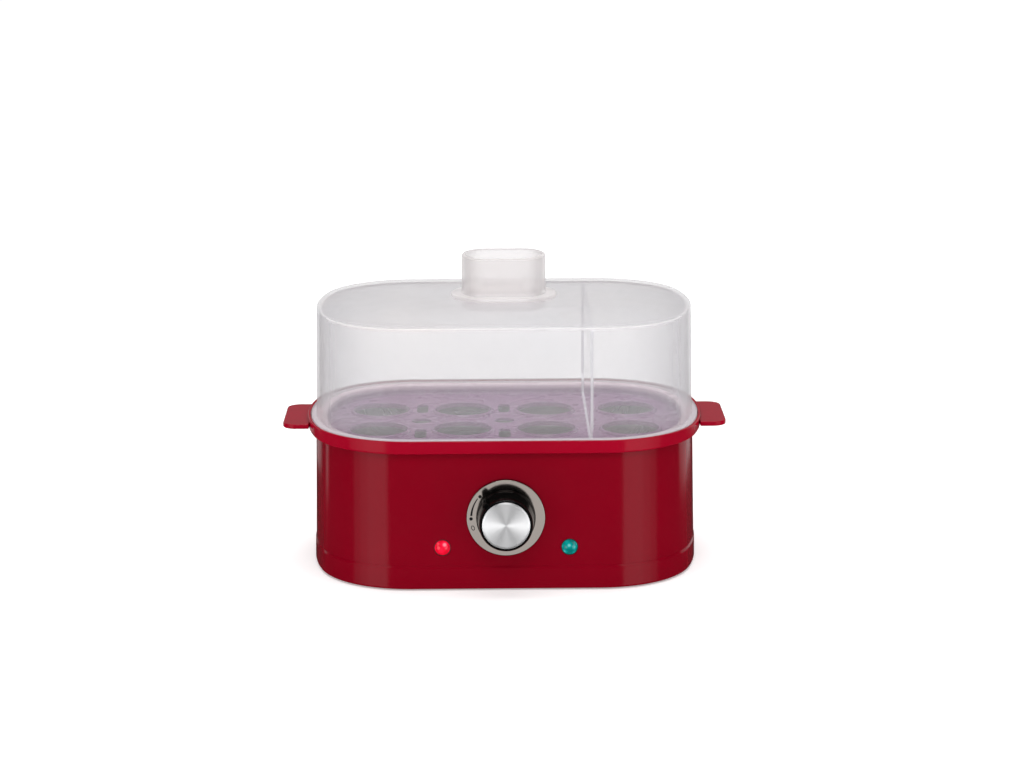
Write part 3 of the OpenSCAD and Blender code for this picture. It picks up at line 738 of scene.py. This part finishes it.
def make_lens(name, node_name, x, slot):
    """A lens with flat facets round a raised middle, like a cut stone."""
    bm = bmesh.new()
    back = box_mm(node_name)[1].y
    steps, smooth_steps, girdle = 8, 64, 3.7
    lathe(bm, [(LENS_FLANGE, 0), (LENS_FLANGE, 0.9), (LENS_R, 1.0), (LENS_R, girdle)], steps=smooth_steps)
    facets = ((LENS_R, girdle, 0.0), (3.2, 5.0, 0.5), (1.5, 5.6, 0.0))
    rows = [circle_of(bm, r, z, steps, turn) for r, z, turn in facets]
    for low, high, shift in ((rows[0], rows[1], 0), (rows[1], rows[2], 1)):
        for j in range(steps):
            k = (j + 1) % steps
            first, second = high[(j + shift) % steps], high[(k + shift) % steps]
            bm.faces.new((low[j], low[k], first))
            bm.faces.new((low[k], second, first))
    bm.faces.new(rows[2])
    bm.faces.new(circle_of(bm, LENS_R, girdle, smooth_steps))
    bm.faces.new(circle_of(bm, LENS_FLANGE, 0, smooth_steps))
    bmesh.ops.remove_doubles(bm, verts=bm.verts, dist=0.001)
    on_front(bm, x, back, LAMP_Z)
    obj = as_object(name, bm, sharp=12, weighted=False)
    piece(obj, "base", slot)
    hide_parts(node_name)
    bm = bmesh.new()
    lathe(bm, rounded([(4.52, 1.2), (4.98, 1.2), (4.98, 3.9), (4.52, 3.9)], 0.08), steps=64, closed=True)
    on_front(bm, x, back, LAMP_Z)
    piece(as_object(name + "_gasket", bm), "base", "switch_plastic", INK)


# ---------------------------------------------------------------- dish, tray, cover

def make_dish():
    """The pressed steel dish: an upper skin, a lower skin, and the edge that joins them."""
    floor = dish_low.z
    bm = bmesh.new()
    inside = rounded([(-5.6, 79.8), (-12.6, 79.8), (-17.6, 62.2), (-40, 61)],
                     [0, 1.6, 5.0, 0], 8, closed=False)
    under = rounded([(-40, floor), (-17.2, floor + 0.8), (-12, 79), (-5.6, 79)],
                    [0, 5.0, 1.6, 0], 8, closed=False)
    top_rows = loft(bm, [oval(BODY, p[0], p[1]) for p in inside] + [oval(BODY, -50, floor + 0.8)])
    bm.faces.new(top_rows[-1])
    low_rows = loft(bm, [oval(BODY, -50, floor)] + [oval(BODY, p[0], p[1]) for p in under])
    bm.faces.new(list(reversed(low_rows[0])))
    n = len(low_rows[-1])
    for j in range(n):
        k = (j + 1) % n
        bm.faces.new((low_rows[-1][j], low_rows[-1][k], top_rows[0][k], top_rows[0][j]))
    obj = as_object("dish_shell", bm)
    piece(obj, "base", "dish_steel")
    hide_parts("heating_dish")


def make_tray():
    """The tray: a flange, a sunk floor with eight seats, and slots for the steam between them."""
    floor, top = tray_low.z, tray_high.z
    bm = bmesh.new()
    shell(bm, BODY, rounded([(2.3, TRAY_Z), (2.3, top), (-6.9, top), (-7.5, floor + 1.5), (-12, floor + 1.5),
                             (-12, floor), (-6.2, floor), (-5.7, TRAY_Z)],
                            [0.4, 0.6, 1.0, 1.6, 0, 0, 1.4, 0.5]))
    slab(bm, [(p.x, p.y) for p in oval(BODY, -11.9)], floor, floor + 1.5)
    obj = as_object("tray_shell", bm)
    holes = [cutter(circle_outline(x, y, SEAT_R + 0.6), floor - 2, floor + 4) for x in EGG_X for y in EGG_Y]
    for x in (-50, 0):
        holes.append(cutter(circle_outline(x, 0, 6), floor - 2, floor + 4))
        holes += [cutter(slot_outline(x, y, 22, 7), floor - 2, floor + 4) for y in (-32, 32)]
    cut(obj, holes)
    soften(obj, 0.3)
    piece(obj, "tray", "tray_plastic")
    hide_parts("egg_tray")
    for i, (x, y) in enumerate((x, y) for x in EGG_X for y in EGG_Y):
        bm = bmesh.new()
        lathe(bm, rounded([(SEAT_R, floor), (SEAT_R + 2.2, floor + 0.4), (SEAT_R + 2.0, floor + 1.4),
                           (SEAT_R + 1.1, floor + 3), (SEAT_R, floor + 3)], [0.3, 0.2, 0.6, 0.5, 0.5]),
              steps=72, closed=True)
        bmesh.ops.translate(bm, vec=(x, y, 0), verts=bm.verts)
        piece(as_object("seat_%d" % (i + 1), bm), "tray", "tray_plastic")


def crown(inset, drop, steps=10):
    """Rings of the cover's domed top, from near its edge to the hole for the grip."""
    rows = []
    for i in range(steps + 1):
        s = i / steps
        offset = -6 - inset - 40 * s
        rows.append(oval(BODY, offset, COVER_TOP - drop + (DOME_Z - COVER_TOP) * math.sin(s * math.pi / 2)))
    return rows


def make_cover():
    """The cover: a wall that leans in, a foot that stands on the tray, and the crown."""
    low, high, thick = -1.05, -2.2, 1.6
    foot = cover_low.z + 0.06
    outside = rounded([(low - thick, foot), (2.3, foot), (2.3, foot + 1.6), (low, foot + 1.6),
                       (high, COVER_TOP), (-6, COVER_TOP)], [0, 0.4, 0.5, 0.6, 2.2, 0], 5, closed=False)
    inside = rounded([(-7.2, COVER_TOP - thick), (high - thick, COVER_TOP - thick), (low - thick, foot)],
                     [0, 1.4, 0], 5, closed=False)
    hole_top = oval(GRIP, 0.2, DOME_Z)
    hole_low = oval(GRIP, 0.2, DOME_Z - thick)
    rings = [oval(BODY, p[0], p[1]) for p in outside[:-1]] + crown(0, 0) + [hole_top, hole_low]
    rings += crown(1.2, thick)[::-1] + [oval(BODY, p[0], p[1]) for p in inside[1:-1]]
    bm = bmesh.new()
    loft(bm, rings, around=True)
    obj = as_object("cover_shell", bm)
    piece(obj, "cover", "milky_plastic")
    obj.visible_shadow = False
    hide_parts("cover")


def make_corner():
    """The fillet inside the cover's upper edge, where the plastic is thicker; its tint, much lighter than
    the cover's, is a painted highlight along the edge.
    """
    side, under = -4.0, COVER_TOP - 1.65
    bm = bmesh.new()
    profile = [(side, under), (side, under - 1.6), (side - 0.6, under - 0.6), (side - 1.6, under)]
    shell(bm, BODY, rounded(profile, [0, 0.2, 0.5, 0.2]))
    obj = as_object("cover_corner", bm)
    obj.visible_shadow = False
    piece(obj, "cover", "milky_plastic", EDGE_HIGHLIGHT_MILK)


def make_divider():
    """The clear sheet across the cover, narrower below, where the tray's flange is."""
    low, high = plate_low, plate_high
    narrow, wide = 69.6, high.y
    outline = rounded([(-narrow, low.z), (narrow, low.z), (narrow, 92), (wide, 95), (wide - 1, high.z - 1),
                       (wide - 4, high.z), (4 - wide, high.z), (1 - wide, high.z - 1), (-wide, 95),
                       (-narrow, 92)], 1.5)
    bm = bmesh.new()
    slab(bm, [(p[0], p[1]) for p in outline], low.x, high.x)
    turn = Matrix(((0, 0, 1, 0), (1, 0, 0, 0), (0, 1, 0, 0), (0, 0, 0, 1)))
    bmesh.ops.transform(bm, matrix=turn, verts=bm.verts)
    obj = as_object("divider_plate", bm)
    soften(obj, 0.4, 3)
    piece(obj, "cover", "milky_plastic", PLATE_MILK)
    obj.visible_shadow = False
    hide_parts("divider")


def make_grip():
    """The hollow grip: a tube with a floor of steam slots, and a thin collar that lies on the crown."""
    top, low, seat = grip_high.z, grip_low.z, DOME_Z + 0.06
    t = 1.6
    tube = rounded([(0.6, seat + 2.6), (0.1, seat + 4.2), (-0.2, top), (-t - 0.2, top), (-t - 0.2, low),
                    (-0.2, low), (0, seat)], [0.6, 1.5, 0.7, 0.6, 0.2, 0.3, 0], 5, closed=False)
    collar = rounded([(-3, seat), (0, seat), (0, seat + 2.2), (-4, seat + 2.5)], [0, 0.5, 1.2, 0], 5,
                     closed=False)
    rings = [oval(GRIP, p[0], p[1]) for p in tube] + [oval(COLLAR, p[0], p[1]) for p in collar]
    bm = bmesh.new()
    loft(bm, rings, around=True)
    obj = as_object("grip_tube", bm)
    piece(obj, "cover", "milky_plastic", GRIP_MILK)
    obj.visible_shadow = False
    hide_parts("vent_grip")
    bm = bmesh.new()
    slab(bm, [(p.x, p.y) for p in oval(GRIP, -t - 0.2)], seat + 5.3, seat + 6.9)
    floor = as_object("grip_floor", bm)
    along = Matrix.Rotation(math.radians(90), 4, "Z")
    cut(floor, [cutter(slot_outline(y, 0, 26, 2.4), seat, seat + 12, along) for y in (-7, 0, 7)])
    soften(floor, 0.2)
    piece(floor, "cover", "milky_plastic", GRIP_MILK)
    floor.visible_shadow = False


make_base()
make_housing()
make_rim()
make_posts()
make_ring()
make_marks()
make_knob()
make_lens("lens_left", "red_lens", -LAMP_X, "lens_red")
make_lens("lens_right", "green_lens", LAMP_X, "lens_green")
make_dish()
make_tray()
make_cover()
make_corner()
make_divider()
make_grip()

# The CAD nodes that stay get their slot's look.
for name, obj in frame["nodes"].items():
    dress(obj, LOOKS[SLOT_OF[name]])


# ---------------------------------------------------------------- stage, light and camera

def make_floor():
    """A pale floor that glows a little, more so far away, so that it meets the white behind it."""
    bm = bmesh.new()
    lathe(bm, [(0, -1), (5000, -1), (5000, 0), (0, 0)], steps=96)
    floor = as_object("floor", bm, weighted=False)
    m, tree, shader = new_material("floor_white")
    coords = place_of(tree)
    tree.links.new(tinted(tree, coords, 6.0, (0.9,) * 3, (0.92,) * 3), shader.inputs["Base Color"])
    shader.inputs["Roughness"].default_value = 0.9
    shader.inputs["Specular IOR Level"].default_value = 0.0
    shader.inputs["Emission Color"].default_value = (1, 1, 1, 1)
    away = node(tree, "ShaderNodeVectorMath", {0: coords}, operation="LENGTH").outputs["Value"]
    tree.links.new(remapped(tree, away, 0.32, 0.8, 0.5, 2.4), shader.inputs["Emission Strength"])
    dress(floor, m)
    floor.visible_glossy = False
    floor.visible_shadow = False


def softbox(name, place, target, width, height, power):
    """A rectangular light that the camera doesn't see, turned towards its target."""
    light = bpy.data.lights.new(name, "AREA")
    light.shape = "RECTANGLE"
    light.size = width
    light.size_y = height
    light.energy = power
    obj = bpy.data.objects.new(name, light)
    obj.location = place
    obj.rotation_euler = (Vector(target) - Vector(place)).to_track_quat("-Z", "Y").to_euler()
    obj.visible_camera = False
    bpy.context.scene.collection.objects.link(obj)
    return obj


def around(azimuth, distance, height):
    """A place round the object; azimuth 0 is in front of it, and 90 to its left."""
    a = math.radians(azimuth)
    return (-distance * math.sin(a), -distance * math.cos(a), height)


# Each light stands round the object: its name, azimuth, distance, height, width, length and power.
LIGHTS = (
    # three that overlap make a band in the corners that fades towards the ends
    ("box_left", 43, 1.5, 0.25, 0.69, 1.9, 1.9), ("box_right", -43, 1.5, 0.25, 0.69, 1.9, 1.9),
    ("mid_left", 48, 1.5, 0.25, 0.97, 1.9, 2.7), ("mid_right", -48, 1.5, 0.25, 0.97, 1.9, 2.7),
    ("wing_left", 52.5, 1.5, 0.25, 1.24, 1.9, 4.6), ("wing_right", -52.5, 1.5, 0.25, 1.24, 1.9, 4.6),
    ("strip_left", 126, 1.2, 0.4, 0.16, 1.4, 0.5), ("strip_right", -135, 1.2, 0.4, 0.9, 1.4, 2.6),
    ("edge_left", 155, 1.2, 0.4, 0.35, 1.4, 0.5),
    ("front", 0, 1.6, 1.7, 1.2, 0.6, 16),
    ("back", 180, 1.3, 1.5, 1.6, 0.8, 5), ("low_back", 180, 1.5, 0.5, 1.6, 0.6, 0.6),
)


def make_light():
    """The softboxes, a card that only the ring and the cap reflect, and a white world."""
    for name, azimuth, distance, height, width, tall, power in LIGHTS:
        softbox(name, around(azimuth, distance, height), (0, 0, 0.1), width, tall, power)
    softbox("top", (0, 0.1, 1.6), (0, 0, 0.1), 1.6, 1.2, 15)
    card = softbox("card", around(0, 1.2, -0.23), (0, -0.08, DIAL_Z * MM), 2.2, 0.45, 3.6)
    shiny = bpy.data.collections.new("lit_by_card")
    for name in ("ring_plate", "cap_disc"):
        shiny.objects.link(bpy.data.objects[name])
    card.light_linking.receiver_collection = shiny
    world = bpy.data.worlds.new("studio")
    bpy.context.scene.world = world
    world.use_nodes = True
    tree = world.node_tree
    tree.nodes.clear()
    seen = node(tree, "ShaderNodeBackground", {"Color": (1, 1, 1, 1), "Strength": 1.0})
    fill = node(tree, "ShaderNodeBackground", {"Color": (1, 1, 1, 1), "Strength": 0.25})
    gloss = node(tree, "ShaderNodeBackground", {"Color": (1, 1, 1, 1), "Strength": 0.03})
    path = node(tree, "ShaderNodeLightPath")
    other = node(tree, "ShaderNodeMixShader", {0: path.outputs["Is Glossy Ray"], 1: fill.outputs[0],
                                               2: gloss.outputs[0]})
    both = node(tree, "ShaderNodeMixShader", {0: path.outputs["Is Camera Ray"], 1: other.outputs[0],
                                              2: seen.outputs[0]})
    out = node(tree, "ShaderNodeOutputWorld")
    tree.links.new(both.outputs[0], out.inputs["Surface"])
    bpy.context.scene.view_settings.view_transform = "Standard"


def make_camera():
    """The camera stands in front, a little left of the middle, and looks slightly down."""
    data = bpy.data.cameras.new("camera")
    data.sensor_width = 36
    data.lens = 94.04
    data.clip_start = 0.05
    data.clip_end = 20
    camera = bpy.data.objects.new("camera", data)
    bpy.context.scene.collection.objects.link(camera)
    yaw, pitch, roll = math.radians(0.58), math.radians(12.8), math.radians(-0.29)
    forward = Vector((math.sin(yaw) * math.cos(pitch), math.cos(yaw) * math.cos(pitch), -math.sin(pitch)))
    level = Vector((math.cos(yaw), -math.sin(yaw), 0))
    upward = level.cross(forward)
    right = math.cos(roll) * level + math.sin(roll) * upward
    up = math.cos(roll) * upward - math.sin(roll) * level
    turn = Matrix((right, up, -forward)).transposed()
    camera.matrix_world = Matrix.Translation((-0.0112, -1.5735, 0.4630)) @ turn.to_4x4()
    bpy.context.scene.camera = camera


make_floor()
make_light()
make_camera()
